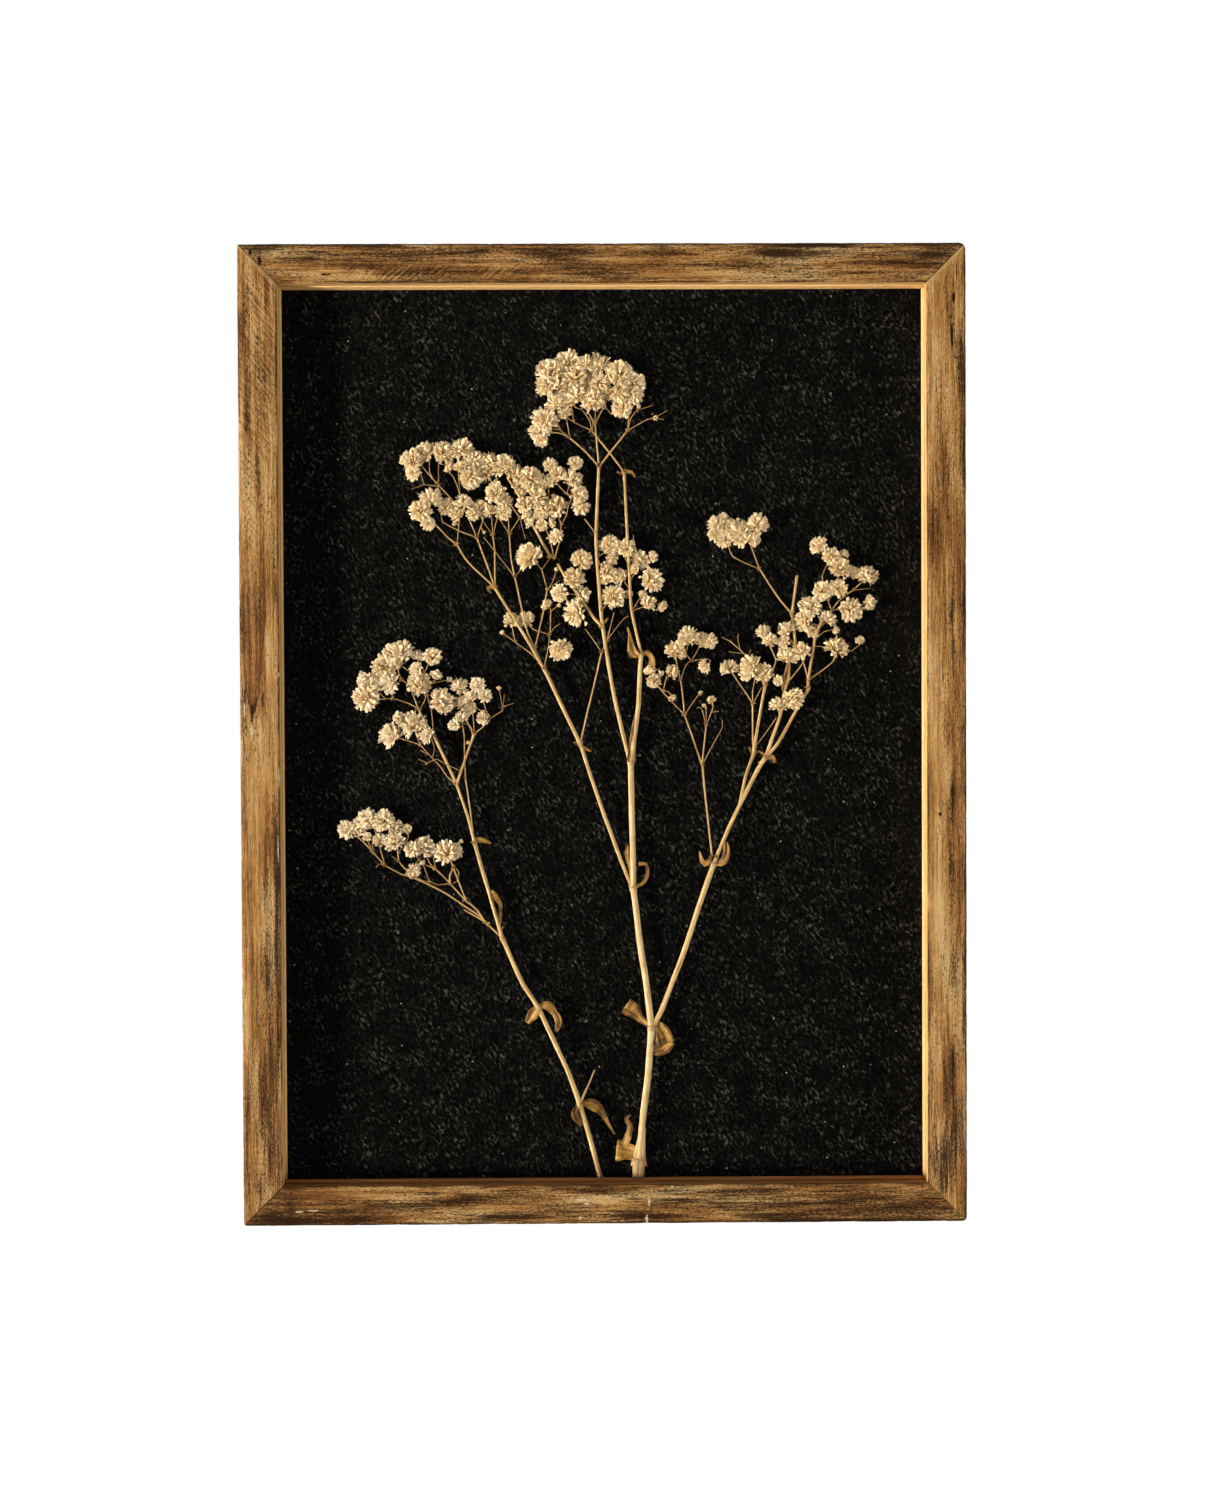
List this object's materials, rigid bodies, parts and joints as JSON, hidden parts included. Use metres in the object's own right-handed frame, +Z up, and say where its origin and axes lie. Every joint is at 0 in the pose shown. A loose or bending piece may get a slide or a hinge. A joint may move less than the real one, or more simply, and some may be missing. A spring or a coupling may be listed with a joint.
{
  "type": "pressed flower frame",
  "caption": "Portrait box frame of mitred stained wood that holds pressed sprays of dried white flowers on black grained paper behind glass.",
  "frame": {"origin": "middle of the foot of the frame: on the underside of the bottom rail, half way along it and half way between the front of the rails and the back of the hanger", "axes": "+Z up the height of the frame, -Y out of the front through the glass, +Y out of the back, +X to the right as seen from the front"},
  "size_m": [0.2, 0.0218, 0.27],
  "materials": {
    "stained_wood": "distressed brown stain and wax, satin",
    "raw_wood": "sawn, unfinished",
    "clear_glass": "clear, polished",
    "black_paper": "embossed leather grain, low sheen",
    "hardboard": "smooth pressed fibre",
    "zinc_steel": "zinc plated, dull",
    "brass_plate": "brass plated steel, bright",
    "dry_stem": "dry plant stem, straw coloured",
    "dry_flower": "dry papery petals, cream"
  },
  "bodies": {
    "root": {"rail_top": "stained_wood", "rail_bottom": "stained_wood", "rail_left": "stained_wood", "rail_right": "stained_wood", "glass": "clear_glass", "spacer_top": "raw_wood", "spacer_bottom": "raw_wood", "spacer_left": "raw_wood", "spacer_right": "raw_wood", "backing_paper": "black_paper", "backing_board": "hardboard", "glazing_tab_1": "zinc_steel", "glazing_tab_2": "zinc_steel", "glazing_tab_3": "zinc_steel", "glazing_tab_4": "zinc_steel", "glazing_tab_5": "zinc_steel", "glazing_tab_6": "zinc_steel", "glazing_tab_7": "zinc_steel", "glazing_tab_8": "zinc_steel", "glazing_tab_9": "zinc_steel", "glazing_tab_10": "zinc_steel", "hanger": "brass_plate", "hanger_nail_left": "brass_plate", "hanger_nail_right": "brass_plate", "main_stem": "dry_stem", "left_branch": "dry_flower", "centre_stems": "dry_flower", "right_branch": "dry_flower", "inner_right_branch": "dry_flower", "left_sprig_stem": "dry_stem", "left_sprig_upper_branch": "dry_flower", "left_sprig_lower_branch": "dry_flower"}
  },
  "joints": []
}
